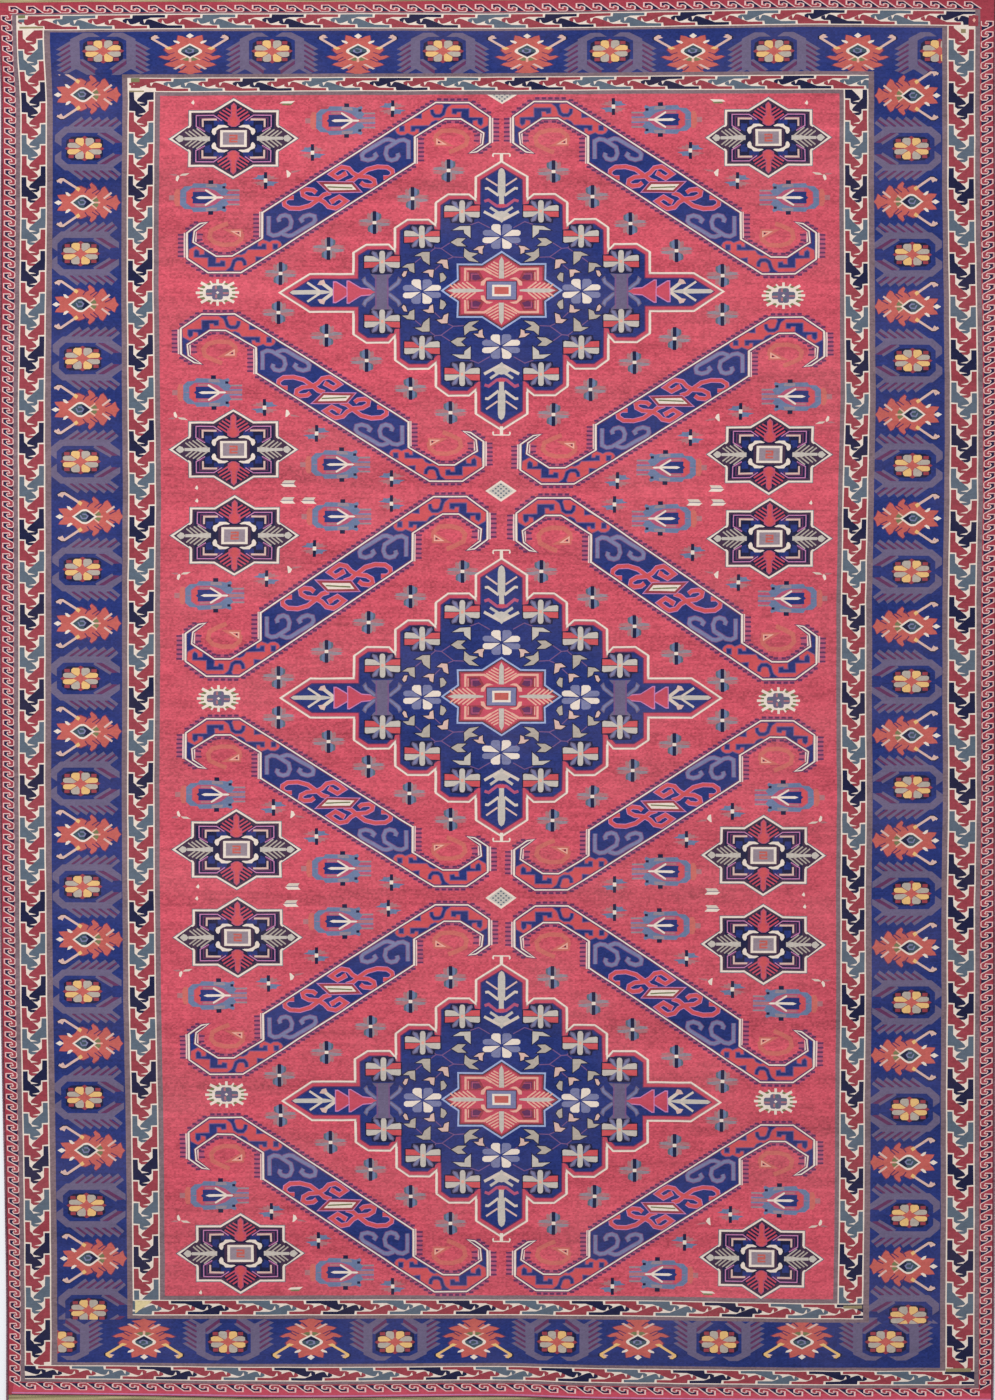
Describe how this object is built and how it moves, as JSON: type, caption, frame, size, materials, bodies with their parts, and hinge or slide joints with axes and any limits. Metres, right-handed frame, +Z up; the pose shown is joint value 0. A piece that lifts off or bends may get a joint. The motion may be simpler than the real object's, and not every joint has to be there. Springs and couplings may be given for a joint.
{
  "type": "shirvan rug",
  "caption": "Flat knotted wool rug with stepped medallions, main border and guards, overcast sides and short flat-woven ends, laid on a floor.",
  "frame": {"origin": "on the floor under the middle of the rug", "axes": "+Z up out of the pile, +Y along the warps towards the upper end, +X along the wefts"},
  "size_m": [2.006, 2.8559, 0.008],
  "materials": {
    "pile_wool": "matt knotted wool pile",
    "selvedge_wool": "matt overcast wool",
    "kilim_wool": "matt flat weave"
  },
  "bodies": {
    "root": {"pile_body": "pile_wool", "selvedge_left": "selvedge_wool", "selvedge_right": "selvedge_wool", "kilim_end_upper": "kilim_wool", "kilim_end_lower": "kilim_wool"}
  },
  "joints": []
}
